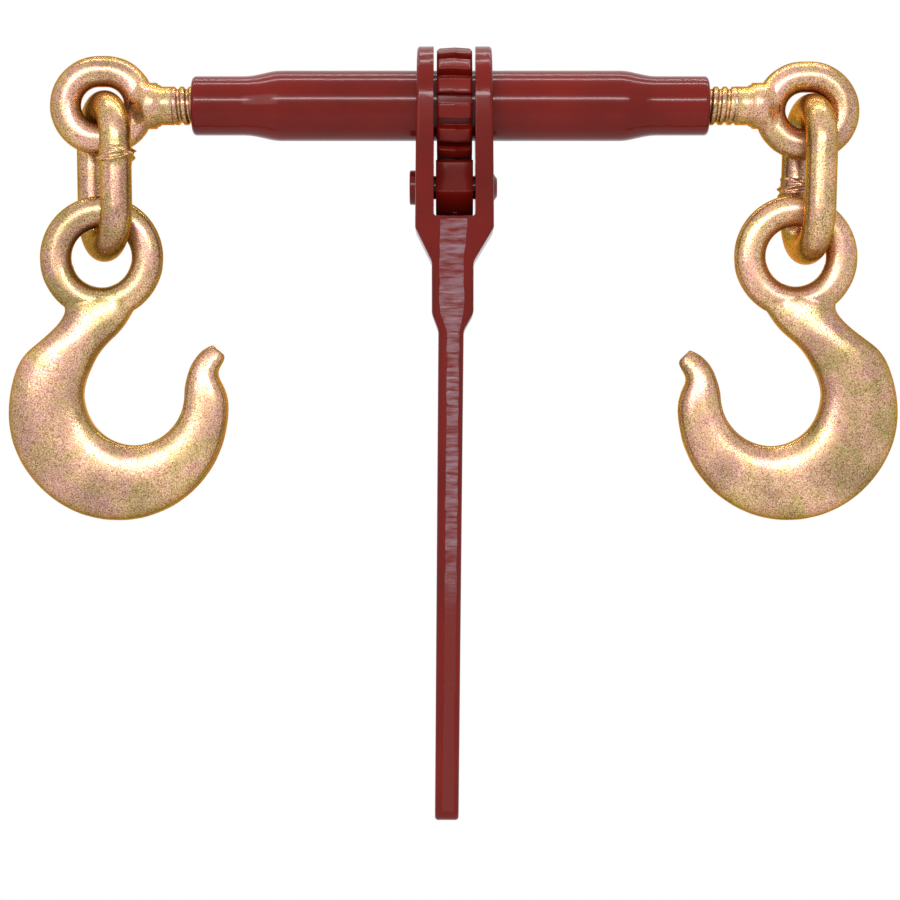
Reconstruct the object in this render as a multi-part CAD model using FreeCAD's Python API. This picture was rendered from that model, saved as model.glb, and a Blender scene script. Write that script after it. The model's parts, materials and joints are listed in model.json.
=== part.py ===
import FreeCAD, Part
import math
import os

# Ratchet load binder for 10 mm transport chain, hanging at rest as it is carried by its barrel.
# Frame: origin on the barrel's axis in the middle of the ratchet wheel, +X along the barrel,
# +Y away from the viewer, +Z up. Every length is in millimetres and every angle in degrees.

V = FreeCAD.Vector

# Barrel: one steel tube, wide in the middle and swaged down at both ends over the threads
barrel_length = 254.0
barrel_shift = -2.0            # the wheel sits this far off the tube's middle, so the tube lies back
barrel_radius = 17.25
barrel_bore_radius = 13.0
swaged_radius = 14.5
swage_start = 86.0             # distance from the tube's middle where it starts to narrow
swage_length = 12.5
swage_blend = 30.0
bore_taper_length = 6.5        # the wide bore closes over this length on to the thread
mouth_round = 2.0

# Ratchet wheel: cast, pressed over the middle of the tube
wheel_width = 17.3
wheel_radius = 28.5
tooth_count = 14
tooth_depth = 5.5
tooth_land_share = 0.56        # how much of the pitch the top of a tooth takes
wheel_draft = 0.5              # the tooth tops fall this much from the middle to each side
wheel_rim_chamfer = 1.2

# Screws: the left one has a right-hand thread and the right one a left-hand thread
screw_radius = 9.6
thread_pitch = 4.4
turns_out = 17                 # how many turns each screw can be let out
screw_running_clearance = 0.05
shank_radius = 9.4
screw_tail_gap = 3.0           # from the tube's middle to the left screw's inner end
right_screw_lead = 4.2         # the right screw stands further out by about one turn
thread_end = 136.5             # from the tube's middle, on the left screw
shank_lip = 0.8                # the die leaves this step where the shank meets the collar
screw_chamfer = 1.0
shank_end = 144.0
collar_radius = 11.3
collar_length = 6.0
eye_flare_inset = 3.6          # the neck has spread into the eye this far before its hole
eye_flare_share = 0.74         # and reaches this much of the eye's half height there
eye_flare_step = 0.8           # and lies this much below the eye's side faces

# Stop ring and cross pin on the tail of each screw
tail_radius = 6.0
tail_length = 9.0
bore_taper_start = screw_tail_gap + right_screw_lead + tail_length + turns_out * thread_pitch
ring_radius = 12.6
ring_thickness = 4.6
ring_running_clearance = 0.06
ring_chamfer = 1.0
ring_end_play = 0.3
stop_pin_radius = 1.5
stop_pin_proud = 3.0           # how far each end of the pin stands out of the tail

# Forged eye at the outer end of each screw, with its hole drawn out towards the screw
eye_hole_radius = 9.0
eye_hole_slot = 3.2            # between the centres of the hole's two round ends
eye_bar_depth = 15.2           # in the plane of the eye
eye_bar_width = 13.5           # along Y
left_eye_from_middle = 173.2   # centre of the outer round end
left_eye_rise = 0.3            # the left eye is bent a little above the screw's axis
right_eye_rise = -2.4          # and the right one below it

# Connecting links: round bar, welded into an oval
link_bar_radius = 7.7
link_inner_length = 53.6
link_inner_width = 23.0

# How the loose pieces hang: each link in its eye, and each hook in its link. A link turned about
# its own length rides up on the sides of the hole, and the hook rides up in the link.
left_link_yaw = 25.0           # front leg turned towards +X
right_link_yaw = 10.0
left_link_lean = 1.0           # foot drawn towards the barrel
right_link_lean = 1.6
left_link_inset = 1.8          # from the centre of the hole's outer end, towards the barrel
right_link_inset = -0.3
left_link_ride = 0.8           # left between the bar and the bottom of the hole
right_link_ride = 2.0
left_hook_ride = 1.3           # left between the link and the hook's eye
right_hook_ride = 0.6
left_hook_drift = 18.0         # from the top of the hook's eye round to the link, towards the barrel
right_hook_drift = -56.0
left_hook_turn = 0.0           # bowl turned away from the barrel
right_hook_turn = 3.2

# Slip hooks: the bowl is a round seat inside a larger, eccentric outer circle
hook_eye_hole_radius = 14.9
hook_eye_bar_depth = 15.5
hook_eye_bar_width = 12.6
bowl_radius = 25.0
bowl_offset_x = 16.2           # bowl centre from the hook's eye, towards the tip
bowl_offset_z = -67.6
hook_outer_radius = 54.0
hook_outer_offset_x = -8.0     # centre of the outer circle from the bowl's centre
hook_outer_offset_z = -7.8
hook_thickness = 20.5
saddle_relief = 0.6            # the seat is cut this deep into the bowl, so it is a true cylinder
hook_section_power = 2.5       # 2 is an ellipse, more is squarer

# Handle: one forging, a fork over the wheel and an I-section lever
fork_gap = 20.4
ear_radius = 29.0
ear_bore_clearance = 0.1
fork_width_top = 36.4
fork_width_bottom = 38.4
fork_bottom = -61.5            # where the fork starts to narrow to the neck
crotch_height = -56.3
crotch_round = 2.0
neck_width = 20.4
neck_top = -78.0
neck_bottom = -103.0
lever_top = -111.5
lever_width_top = 12.4
lever_width_end = 11.6
lever_depth_top = 33.0         # along Y
lever_depth_end = 27.0
neck_set = -0.9                # the forging is bent a little: its middle stands off the fork's
lever_set_top = -1.7           # middle by these distances along X
lever_set_end = -3.8
handle_end = -351.0
handle_end_round = 6.0
handle_edge_round = 1.6
panel_flange = 6.5             # width of the two flanges beside the sunk panels
panel_web = 5.2                # thickness left between the panels
panel_margin = 12.0            # solid metal left above and below the panels

# Pawl: two horns, rocked by hand from one to the other
pawl_pin_height = -40.3
pawl_width = 18.2
pawl_bite = 3.9                # how far the horns' tips reach past the tops of the teeth
pawl_rest_clearance = 0.5      # between tips and teeth while neither horn is in mesh
pawl_flank_clearance = 0.4     # beside and over the tooth that a horn has caught
pawl_tip_half_width = 1.15
pawl_flat_distance = 14.0      # from the pin to the flats that the plunger presses on
pawl_running_clearance = 0.06
pin_radius = 5.8
pin_head_radius = 8.5
pin_head_thickness = 3.0
pin_head_round = 0.8
pin_rivet_radius = 7.2         # the other end is peened over
pin_rivet_end_radius = 4.5
pin_rivet_thickness = 1.9

# Detent in the handle's neck
plunger_radius = 4.6
plunger_length = 13.0
plunger_running_clearance = 0.08
plunger_gap = 0.3
detent_hole_depth = 27.7       # below the crotch
spring_wire_radius = 0.5
spring_outer_radius = 4.2
spring_turns = 6


def cylinder(radius, start, end):
    """A round bar between two points."""
    along = end - start
    return Part.makeCylinder(radius, along.Length, start, along)


def turned(profile, angle=360):
    """A solid turned about X from (x, radius) points."""
    points = [V(x, 0, r) for x, r in profile]
    face = Part.Face(Part.makePolygon(points + points[:1]))
    return face.revolve(V(0, 0, 0), V(1, 0, 0), angle)


def rounded_outline(corners, place):
    """A closed wire through (u, v, radius) corners, each one rounded by its own radius."""
    edges = []
    count = len(corners)
    starts, ends = [], []
    for i in range(count):
        before, here, after = (V(*corners[(i + k) % count][:2], 0) for k in (-1, 0, 1))
        radius = corners[i][2]
        to_before = (before - here).normalize()
        to_after = (after - here).normalize()
        if radius <= 0:
            starts.append(here)
            ends.append(here)
            continue
        half = to_before.getAngle(to_after) / 2
        reach = radius / math.tan(half)
        first = here + to_before * reach
        last = here + to_after * reach
        centre = here + (to_before + to_after).normalize() * (radius / math.sin(half))
        middle = centre + (here - centre).normalize() * radius
        edges.append(Part.Arc(place(first), place(middle), place(last)).toShape())
        starts.append(first)
        ends.append(last)
    for i in range(count):
        gap = (starts[(i + 1) % count] - ends[i]).Length
        if gap > 1e-6:
            edges.append(Part.makeLine(place(ends[i]), place(starts[(i + 1) % count])))
    return Part.Wire(Part.__sortEdges__(edges))


def in_side_view(point):
    """(u, v) of an outline seen along X, as a point at x = 0."""
    return V(0, point.x, point.y)


def in_front_view(point):
    """(u, v) of an outline seen along Y, as a point at y = 0."""
    return V(point.x, 0, point.y)


def slab(wire, direction, thickness):
    """A plate of the wire's outline, centred on the wire's plane."""
    face = Part.Face(wire)
    face.translate(direction * (-thickness / 2))
    return face.extrude(direction * thickness)


def section_points(inner, outer, thickness, steps=14):
    """Points round a hook section between an inner and an outer point of the XZ plane."""
    centre = (inner + outer) * 0.5
    arm = (outer - inner) * 0.5
    power = 2 / hook_section_power
    points = []
    for i in range(steps):
        angle = 2 * math.pi * i / steps
        c, s = math.cos(angle), math.sin(angle)
        across = math.copysign(abs(c) ** power, c)
        aside = math.copysign(abs(s) ** power, s)
        points.append(centre + arm * across + V(0, aside * thickness / 2, 0))
    return points


def closed_curve(points):
    curve = Part.BSplineCurve()
    curve.interpolate(Points=points, PeriodicFlag=True)
    return Part.Wire(curve.toShape())


def fillet_where(solid, radius, wanted):
    """Round the edges whose middle point passes the test."""
    edges = [e for e in solid.Edges if wanted(e.valueAt((e.FirstParameter + e.LastParameter) / 2), e)]
    return solid.makeFillet(radius, edges) if edges else solid


def oval_wire(centre, one_half, other_half):
    """An oval about a centre, with its two half axes given as vectors."""
    longer, shorter = sorted((one_half, other_half), key=lambda half: -half.Length)
    return Part.Wire(Part.Ellipse(centre + longer, centre + shorter, centre).toShape())


def ring_about_y(centre, hole_radius, bar_depth, bar_width, slot=0.0):
    """An eye of oval bar in the XZ plane; slot draws the hole out from the centre towards -X."""
    radius = hole_radius + bar_depth / 2
    drawn = V(-slot, 0, 0)

    def section(side):
        middle = centre + V(0, 0, side * radius)
        return Part.Face(oval_wire(middle, V(0, bar_width / 2, 0), V(0, 0, bar_depth / 2)))

    outer = section(1).revolve(centre, V(0, 1, 0), 180)
    inner = section(1).revolve(centre, V(0, 1, 0), -180)
    if slot <= 0:
        return outer.fuse(inner).removeSplitter()
    inner.translate(drawn)
    return outer.fuse([inner, section(1).extrude(drawn), section(-1).extrude(drawn)]).removeSplitter()


def barrel_tube():
    half = barrel_length / 2
    swage_end = swage_start + swage_length
    outer = turned([(-half, 0), (-half, swaged_radius), (-swage_end, swaged_radius),
                    (-swage_start, barrel_radius), (swage_start, barrel_radius),
                    (swage_end, swaged_radius), (half, swaged_radius), (half, 0)])
    outer = fillet_where(outer, swage_blend,
                         lambda p, e: e.Curve.TypeId == "Part::GeomCircle" and abs(p.x) < half - 1)
    outer = fillet_where(outer, mouth_round,
                         lambda p, e: e.Curve.TypeId == "Part::GeomCircle" and abs(p.x) > half - 1)
    thread_radius = screw_radius + screw_running_clearance
    taper_end = bore_taper_start + bore_taper_length
    bore = turned([(-half - 1, 0), (-half - 1, thread_radius), (-taper_end, thread_radius),
                   (-bore_taper_start, barrel_bore_radius), (bore_taper_start, barrel_bore_radius),
                   (taper_end, thread_radius), (half + 1, thread_radius), (half + 1, 0)])
    tube = outer.cut(bore)
    tube.translate(V(barrel_shift, 0, 0))
    return tube


def tooth_half_land():
    """Half the angle that the top of a tooth takes, in radians."""
    return math.pi / tooth_count * tooth_land_share


def ratchet_wheel():
    pitch = 2 * math.pi / tooth_count
    half_land = tooth_half_land()
    root_radius = wheel_radius - tooth_depth
    first = -math.pi / 2        # one tooth points straight down

    def at(radius, angle):
        return V(0, radius * math.cos(angle), radius * math.sin(angle))

    edges = []
    for i in range(tooth_count):
        middle = first + i * pitch
        start, end = middle - half_land, middle + half_land
        next_start = start + pitch
        edges.append(Part.Arc(at(wheel_radius, start), at(wheel_radius, middle),
                              at(wheel_radius, end)).toShape())
        edges.append(Part.makeLine(at(wheel_radius, end), at(root_radius, end)))
        edges.append(Part.Arc(at(root_radius, end), at(root_radius, (end + next_start) / 2),
                              at(root_radius, next_start)).toShape())
        edges.append(Part.makeLine(at(root_radius, next_start), at(wheel_radius, next_start)))
    toothed = slab(Part.Wire(edges), V(1, 0, 0), wheel_width)
    side = wheel_width / 2
    rim = wheel_radius - wheel_draft
    envelope = turned([(-side, 0), (-side, rim - wheel_rim_chamfer), (wheel_rim_chamfer - side, rim),
                       (0, wheel_radius), (side - wheel_rim_chamfer, rim),
                       (side, rim - wheel_rim_chamfer), (side, 0)])
    bore = cylinder(barrel_radius, V(-side - 1, 0, 0), V(side + 1, 0, 0))
    return toothed.common(envelope).cut(bore)


def handle_side():
    """The handle seen along X: a round head, then a long lever that narrows."""
    wide = fork_width_bottom
    head = cylinder(ear_radius, V(-wide, 0, 0), V(wide, 0, 0))
    top, end = lever_depth_top / 2, lever_depth_end / 2
    # half depths of the forging from the head down to the lever
    flank = [V(0, ear_radius, 0), V(0, 25.6, -40), V(0, 20.4, fork_bottom),
             V(0, 17.6, neck_top - 8), V(0, top, lever_top)]
    narrowing = (end - top) / (lever_top - handle_end)
    edges = []
    for side in (1, -1):
        def placed(point):
            return V(0, side * point.y, point.z)

        curve = Part.BSplineCurve()
        curve.interpolate(Points=[placed(p) for p in flank], InitialTangent=V(0, 0, -1),
                          FinalTangent=V(0, side * narrowing, -1))
        turn = handle_end_round
        turn_centre = V(0, end - turn, handle_end + turn)
        arc_middle = turn_centre + V(0, 1, -1).normalize() * turn
        edges += [curve.toShape(),
                  Part.makeLine(placed(flank[-1]), placed(turn_centre + V(0, turn, 0))),
                  Part.Arc(placed(turn_centre + V(0, turn, 0)), placed(arc_middle),
                           placed(turn_centre - V(0, 0, turn))).toShape(),
                  Part.makeLine(placed(turn_centre - V(0, 0, turn)), V(0, 0, handle_end)),
                  Part.makeLine(placed(flank[0]), V(0, 0, 0))]
    lever = slab(Part.Wire(Part.__sortEdges__(edges)), V(1, 0, 0), 2 * wide)
    return head.fuse(lever)


def handle_stations():
    """Height, middle, half width and corner round of the handle seen from the front, from the top down."""
    return [(ear_radius + 1, 0, fork_width_top / 2, 0), (fork_bottom, 0, fork_width_bottom / 2, 3),
            (neck_top, neck_set, neck_width / 2, 6), (neck_bottom, neck_set, neck_width / 2, 7),
            (lever_top, lever_set_top, lever_width_top / 2, 8), (handle_end, lever_set_end, lever_width_end / 2, 0)]


def handle_front():
    """The handle seen along Y: the fork, the neck and the lever."""
    right = [(middle + half, z, corner) for z, middle, half, corner in handle_stations()]
    left = [(middle - half, z, corner) for z, middle, half, corner in reversed(handle_stations())]
    return slab(rounded_outline(right + left, in_front_view), V(0, 1, 0), 4 * ear_radius)


def panel(side):
    """One sunk panel of the I-section lever; side is -1 or 1."""
    top = lever_top - panel_margin
    bottom = handle_end + panel_margin + handle_end_round

    def half_depth(z):
        share = (lever_top - z) / (lever_top - handle_end)
        return (lever_depth_top + (lever_depth_end - lever_depth_top) * share) / 2 - panel_flange

    wide, narrow = half_depth(top), half_depth(bottom)
    outline = [(-wide, top, 7), (wide, top, 7), (narrow, bottom, 6), (-narrow, bottom, 6)]
    face = Part.Face(rounded_outline(outline, in_side_view))
    face.translate(V(side * panel_web / 2, 0, 0))
    tool = face.extrude(V(side * lever_width_top, 0, 0))
    lean = math.atan2(lever_set_top - lever_set_end, lever_top - handle_end)
    tool.rotate(V(0, 0, lever_top), V(0, 1, 0), math.degrees(lean))
    tool.translate(V(lever_set_top, 0, 0))
    return tool


def handle():
    body = handle_side().common(handle_front())
    body = body.removeSplitter()
    body = fillet_where(body, handle_edge_round, lambda p, e: on_handle_outline(p))
    slot = [(-fork_gap / 2, crotch_height, crotch_round), (fork_gap / 2, crotch_height, crotch_round),
            (fork_gap / 2, ear_radius + 5, 0), (-fork_gap / 2, ear_radius + 5, 0)]
    body = body.cut(slab(rounded_outline(slot, in_front_view), V(0, 1, 0), 4 * ear_radius))
    reach = fork_width_bottom
    body = body.cut(cylinder(barrel_radius + ear_bore_clearance, V(-reach, 0, 0), V(reach, 0, 0)))
    body = body.cut(cylinder(pin_radius, V(-reach, 0, pawl_pin_height), V(reach, 0, pawl_pin_height)))
    hole_radius = plunger_radius + plunger_running_clearance
    mouth = V(0, 0, crotch_height + plunger_length)
    body = body.cut(cylinder(hole_radius, mouth, V(0, 0, detent_hole_bottom())))
    for side in (-1, 1):
        body = body.cut(panel(side))
    return body


def detent_hole_bottom():
    return crotch_height - detent_hole_depth


def handle_outline(z):
    """Middle and half width of the handle at a height, without its rounded corners."""
    stations = handle_stations()
    for (z0, middle0, half0, _), (z1, middle1, half1, _) in zip(stations, stations[1:]):
        if z >= z1:
            share = min(1, max(0, (z0 - z) / (z0 - z1)))
            return middle0 + (middle1 - middle0) * share, half0 + (half1 - half0) * share
    return stations[-1][1:3]


def on_handle_outline(point):
    middle, half = handle_outline(point.z)
    return abs(abs(point.x - middle) - half) < 0.3


def pawl_swing():
    """A horn's length from the pin, and how far it leans from upright at rest and in mesh."""
    drop = -pawl_pin_height
    reach = drop - wheel_radius + pawl_bite
    tip_half = pawl_tip_half_width / reach
    clear = wheel_radius + pawl_rest_clearance
    rest = math.acos((drop ** 2 + reach ** 2 - clear ** 2) / (2 * drop * reach)) + tip_half
    # the flank of the lowest tooth, where the tip stands beside it
    half_land = tooth_half_land()
    flank_radius = drop * math.cos(half_land) - math.sqrt(reach ** 2 - (drop * math.sin(half_land)) ** 2)
    flank = math.asin(flank_radius * math.sin(half_land) / reach)
    mesh = flank + tip_half + pawl_flank_clearance / reach
    return reach, rest, mesh


def pawl():
    reach, rest, mesh = pawl_swing()
    rock = rest - mesh
    tip_half = pawl_tip_half_width / reach
    pin = V(0, 0, pawl_pin_height)

    def polar(radius, angle):
        """A point at an angle from upright, about the pin."""
        return pin + V(0, radius * math.sin(angle), radius * math.cos(angle))

    def both_sides(points):
        return points + [V(0, -p.y, p.z) for p in reversed(points)]

    flat = pawl_flat_distance
    shoulder = polar(reach * 0.8, rest + math.radians(24))
    body = slab(Part.makePolygon(both_sides([
        polar(reach * 0.9, rest), shoulder, polar(flat * 1.24, rest + math.radians(62)),
        polar(flat * 1.04, math.pi - rock * 1.5), polar(flat / math.cos(rock / 2), math.pi - rock / 2)])
        + [polar(reach * 0.9, rest)]), V(1, 0, 0), pawl_width)
    # the back between the horns clears the wheel however the pawl is rocked
    wheel = cylinder(wheel_radius + pawl_flank_clearance, V(-pawl_width, 0, 0), V(pawl_width, 0, 0))
    for angle in (-rock, 0, rock):
        turned_wheel = wheel.copy()
        turned_wheel.rotate(pin, V(1, 0, 0), math.degrees(angle))
        body = body.cut(turned_wheel)
    # the corner of the lowest tooth, which a horn's inner side clears in mesh
    corner_y = wheel_radius * math.sin(tooth_half_land())
    corner_z = -wheel_radius * math.cos(tooth_half_land()) - pawl_pin_height
    foot = math.hypot(corner_y, corner_z)
    foot_angle = math.atan2(corner_y, corner_z) + pawl_flank_clearance / foot + rock
    for side in (1, -1):
        horn = [polar(reach, rest - tip_half), polar(reach, rest + tip_half), shoulder,
                polar(foot * 0.7, foot_angle), polar(foot, foot_angle), polar(reach, rest - tip_half)]
        horn = [V(0, side * p.y, p.z) for p in horn]
        body = body.fuse(slab(Part.makePolygon(horn), V(1, 0, 0), pawl_width))
    aside = V(pawl_width, 0, 0)
    bore = cylinder(pin_radius + pawl_running_clearance, pin - aside, pin + aside)
    return body.removeSplitter().cut(bore)


def pawl_pin():
    pin = V(0, 0, pawl_pin_height)
    # the ears widen downwards, so head and rivet bear on them at their lower edges
    head_seat = V(-handle_outline(pawl_pin_height - pin_head_radius)[1], 0, 0)
    rivet_seat = V(handle_outline(pawl_pin_height - pin_rivet_radius)[1], 0, 0)
    head_face = head_seat - V(pin_head_thickness, 0, 0)
    shank = cylinder(pin_radius, pin + head_seat, pin + rivet_seat)
    head = cylinder(pin_head_radius, pin + head_seat, pin + head_face)
    head = fillet_where(head, pin_head_round, lambda p, e: p.x < head_face.x + pin_head_round / 2)
    rivet = Part.makeCone(pin_rivet_radius, pin_rivet_end_radius, pin_rivet_thickness,
                          pin + rivet_seat, V(1, 0, 0))
    return shank.fuse([head, rivet]).removeSplitter()


def plunger_top():
    return pawl_pin_height - pawl_flat_distance - plunger_gap


def detent_plunger():
    top = V(0, 0, plunger_top())
    body = cylinder(plunger_radius, top - V(0, 0, plunger_length), top)
    return fillet_where(body, 0.8, lambda p, e: p.z > top.z - 0.1)


def detent_spring():
    """A coil of round wire between the plunger and the bottom of its hole."""
    top = plunger_top() - plunger_length - spring_wire_radius
    bottom = detent_hole_bottom() + spring_wire_radius
    radius = spring_outer_radius - spring_wire_radius
    steps = spring_turns * 4

    def at(turn):
        angle = 2 * math.pi * turn
        height = bottom + (top - bottom) * turn / spring_turns
        return V(radius * math.cos(angle), radius * math.sin(angle), height)

    arcs = [Part.Arc(at(i / 4), at((i + 0.5) / 4), at((i + 1) / 4)).toShape() for i in range(steps)]
    path = Part.Wire(arcs)
    start = at(0)
    direction = path.Edges[0].tangentAt(path.Edges[0].FirstParameter)
    circle = Part.Wire(Part.makeCircle(spring_wire_radius, start, direction))
    return path.makePipeShell([circle], True, False)


def eye_bolt(eye_from_middle, eye_rise, lead):
    """A screw along +X from the tube's middle, with its forged eye; lead is how far it is screwed out."""
    tail = screw_tail_gap + lead
    body_start = tail + tail_length
    thread = thread_end + lead
    shank = shank_end + lead
    collar = shank + collar_length
    relief = screw_radius - shank_radius
    lip = shank_lip
    bolt = turned([(tail, 0), (tail, tail_radius), (body_start, tail_radius),
                   (body_start, screw_radius - screw_chamfer), (body_start + screw_chamfer, screw_radius),
                   (thread, screw_radius), (thread + relief, shank_radius),
                   (shank - 2 * lip, shank_radius), (shank - lip, shank_radius + lip),
                   (shank, shank_radius + lip), (shank + lip, collar_radius),
                   (collar, collar_radius), (collar, 0)])
    centre = V(eye_from_middle, 0, eye_rise)
    eye = ring_about_y(centre, eye_hole_radius, eye_bar_depth, eye_bar_width, eye_hole_slot)
    hole_start = centre.x - eye_hole_slot - eye_hole_radius
    root = Part.Wire(Part.makeCircle(collar_radius, V(collar, 0, 0), V(1, 0, 0)))
    flare_centre = V(hole_start - eye_flare_inset, 0, eye_rise)
    flare = oval_wire(flare_centre, V(0, 0, eye_flare_share * (eye_hole_radius + eye_bar_depth)),
                      V(0, eye_bar_width / 2 - eye_flare_step, 0))
    neck = Part.makeLoft([root, flare], True, True)
    bolt = bolt.fuse([neck, eye])
    return bolt.cut(stop_pin(lead))


def stop_ring(lead):
    shoulder = screw_tail_gap + lead + tail_length
    inner = tail_radius + ring_running_clearance
    start, end = shoulder - ring_thickness - ring_end_play / 2, shoulder - ring_end_play / 2
    return turned([(start, inner), (start, ring_radius), (end - ring_chamfer, ring_radius),
                   (end, ring_radius - ring_chamfer), (end, inner)])


def stop_pin(lead):
    tail = screw_tail_gap + lead
    x = tail + (tail_length - ring_thickness - ring_end_play) / 2
    reach = tail_radius + stop_pin_proud
    return cylinder(stop_pin_radius, V(x, 0, -reach), V(x, 0, reach))


def oval_link():
    """A link in the YZ plane, hanging from the origin, which is the middle of its upper bar."""
    offset = link_inner_width / 2 + link_bar_radius
    high = -offset
    low = offset - link_pitch()
    pieces = [cylinder(link_bar_radius, V(0, leg, low), V(0, leg, high)) for leg in (-offset, offset)]
    for z, half_turn in ((high, 180), (low, -180)):
        section = Part.Face(Part.Wire(Part.makeCircle(link_bar_radius, V(0, offset, z), V(0, 0, 1))))
        pieces.append(section.revolve(V(0, 0, z), V(1, 0, 0), half_turn))
    return pieces[0].fuse(pieces[1:]).removeSplitter()


def link_pitch():
    """From the middle of a link's upper bar to the middle of its lower one."""
    return link_inner_length + 2 * link_bar_radius


def link_place(direction, eye_x, eye_rise, inset, ride, yaw, lean):
    """Where a link hangs; direction is -1 on the left."""
    top = V(eye_x - direction * inset, 0, eye_rise - eye_hole_radius + ride + link_bar_radius)
    turn = FreeCAD.Rotation(V(0, 1, 0), direction * lean).multiply(FreeCAD.Rotation(V(0, 0, 1), yaw))
    return FreeCAD.Placement(top, turn)


def hook_place(direction, link, ride, drift, turn):
    """Where a hook hangs in a link that has this placement."""
    foot = link.multVec(V(0, 0, -link_pitch()))
    apart = hook_eye_hole_radius - link_bar_radius - ride
    angle = math.radians(drift)
    centre = foot - V(-direction * apart * math.sin(angle), 0, apart * math.cos(angle))
    return FreeCAD.Placement(centre, FreeCAD.Rotation(V(0, 1, 0), -direction * turn))


def outer_reach(angle):
    """From the bowl's centre to the outer circle, at an angle from +X."""
    ox, oz = hook_outer_offset_x, hook_outer_offset_z
    along = ox * math.cos(angle) + oz * math.sin(angle)
    return along + math.sqrt(along * along + hook_outer_radius ** 2 - ox * ox - oz * oz)


def slip_hook():
    """A hook with its eye's centre at the origin, in the XZ plane, its tip towards +X."""
    bowl = V(bowl_offset_x, 0, bowl_offset_z)
    inner_radius = bowl_radius - saddle_relief
    eye_outer = hook_eye_hole_radius + hook_eye_bar_depth
    # neck, from inside the eye's bar down to where the bowl begins: inner x, z, outer x, z, thickness
    neck = [(20.2, -20.4, -19.8, -20.6, 12.0),
            (13.0, -30.6, -18.3, -27.8, 15.8),
            (4.0, -41.2, -26.0, -37.6, 18.6),
            (-2.6, -49.6, -34.2, -44.6, 20.0)]
    sections = [section_points(V(a, 0, b), V(c, 0, d), t) for a, b, c, d, t in neck]
    for degrees in (165, 190, 215, 240, 265, 290, 315, 340, 360):
        angle = math.radians(degrees)
        way = V(math.cos(angle), 0, math.sin(angle))
        thin = max(0.0, (degrees - 300) / 60)
        thickness = hook_thickness * (1 - 0.2 * thin)
        outer = bowl + way * outer_reach(angle)
        sections.append(section_points(bowl + way * inner_radius, outer, thickness))
    # point: curls outwards from the bowl, measured from the bowl's centre
    point = [(27.2, 12.4, 41.4, 9.6, 13.4), (32.6, 20.6, 42.8, 14.8, 9.6), (38.6, 24.2, 43.8, 19.8, 5.6)]
    for a, b, c, d, t in point:
        sections.append(section_points(bowl + V(a, 0, b), bowl + V(c, 0, d), t))
    body = Part.makeLoft([closed_curve(s) for s in sections], True, False)
    eye = ring_about_y(V(0, 0, 0), hook_eye_hole_radius, hook_eye_bar_depth, hook_eye_bar_width)
    hole = cylinder(hook_eye_hole_radius + 2.5, V(0, -30, 0), V(0, 30, 0))
    body = body.cut(hole)
    hook = body.fuse(eye)
    seat = cylinder(bowl_radius, bowl - V(0, 30, 0), bowl + V(0, 30, 0))
    return hook.cut(seat)


def turned_round(shape):
    """The same piece turned half round the vertical, for the other end of the barrel."""
    copy = shape.copy()
    copy.rotate(V(0, 0, 0), V(0, 0, 1), 180)
    return copy


def hanging_places():
    """For each side: direction, eye distance, eye rise, lead, and where its link and its hook hang."""
    right_eye_from_middle = left_eye_from_middle + right_screw_lead
    left_link = link_place(-1, barrel_shift - left_eye_from_middle, left_eye_rise, left_link_inset,
                           left_link_ride, left_link_yaw, left_link_lean)
    right_link = link_place(1, barrel_shift + right_eye_from_middle, right_eye_rise, right_link_inset,
                            right_link_ride, right_link_yaw, right_link_lean)
    left_hook = hook_place(-1, left_link, left_hook_ride, left_hook_drift, left_hook_turn)
    right_hook = hook_place(1, right_link, right_hook_ride, right_hook_drift, right_hook_turn)
    return {"left": (-1, left_eye_from_middle, left_eye_rise, 0.0, left_link, left_hook),
            "right": (1, right_eye_from_middle, right_eye_rise, right_screw_lead, right_link, right_hook)}


def end_pieces(side, direction, eye_from_middle, eye_rise, lead, link_at, hook_at):
    """Screw, stop ring, stop pin, link and hook of one end of the barrel."""
    pieces = {side + "_eye_bolt": eye_bolt(eye_from_middle, eye_rise, lead),
              side + "_stop_ring": stop_ring(lead),
              side + "_stop_pin": stop_pin(lead)}
    for name, shape in pieces.items():
        pieces[name] = turned_round(shape) if direction < 0 else shape
        pieces[name].translate(V(barrel_shift, 0, 0))
    link, hook = oval_link(), slip_hook()
    if direction > 0:
        hook = turned_round(hook)
    link.Placement = link_at.multiply(link.Placement)
    hook.Placement = hook_at.multiply(hook.Placement)
    pieces[side + "_link"] = link
    pieces[side + "_hook"] = hook
    return pieces


def build():
    nodes = {
        "barrel_tube": barrel_tube(),
        "ratchet_wheel": ratchet_wheel(),
        "handle": handle(),
        "pawl": pawl(),
        "pawl_pin": pawl_pin(),
        "detent_plunger": detent_plunger(),
        "detent_spring": detent_spring(),
    }
    for side, values in hanging_places().items():
        nodes.update(end_pieces(side, *values))
    return nodes


os.makedirs("parts", exist_ok=True)
for node, shape in build().items():
    solid = shape.Solids[0] if len(shape.Solids) == 1 else shape
    print(f"{node}: {len(shape.Solids)} solid(s), valid {solid.isValid()}, {solid.Volume / 1000:.2f} cm3")
    solid.exportStep(f"parts/{node}.step")
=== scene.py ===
import json
import math

import bmesh
import bpy
from mathutils import Matrix, Vector, noise
from mathutils.bvhtree import BVHTree


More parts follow.
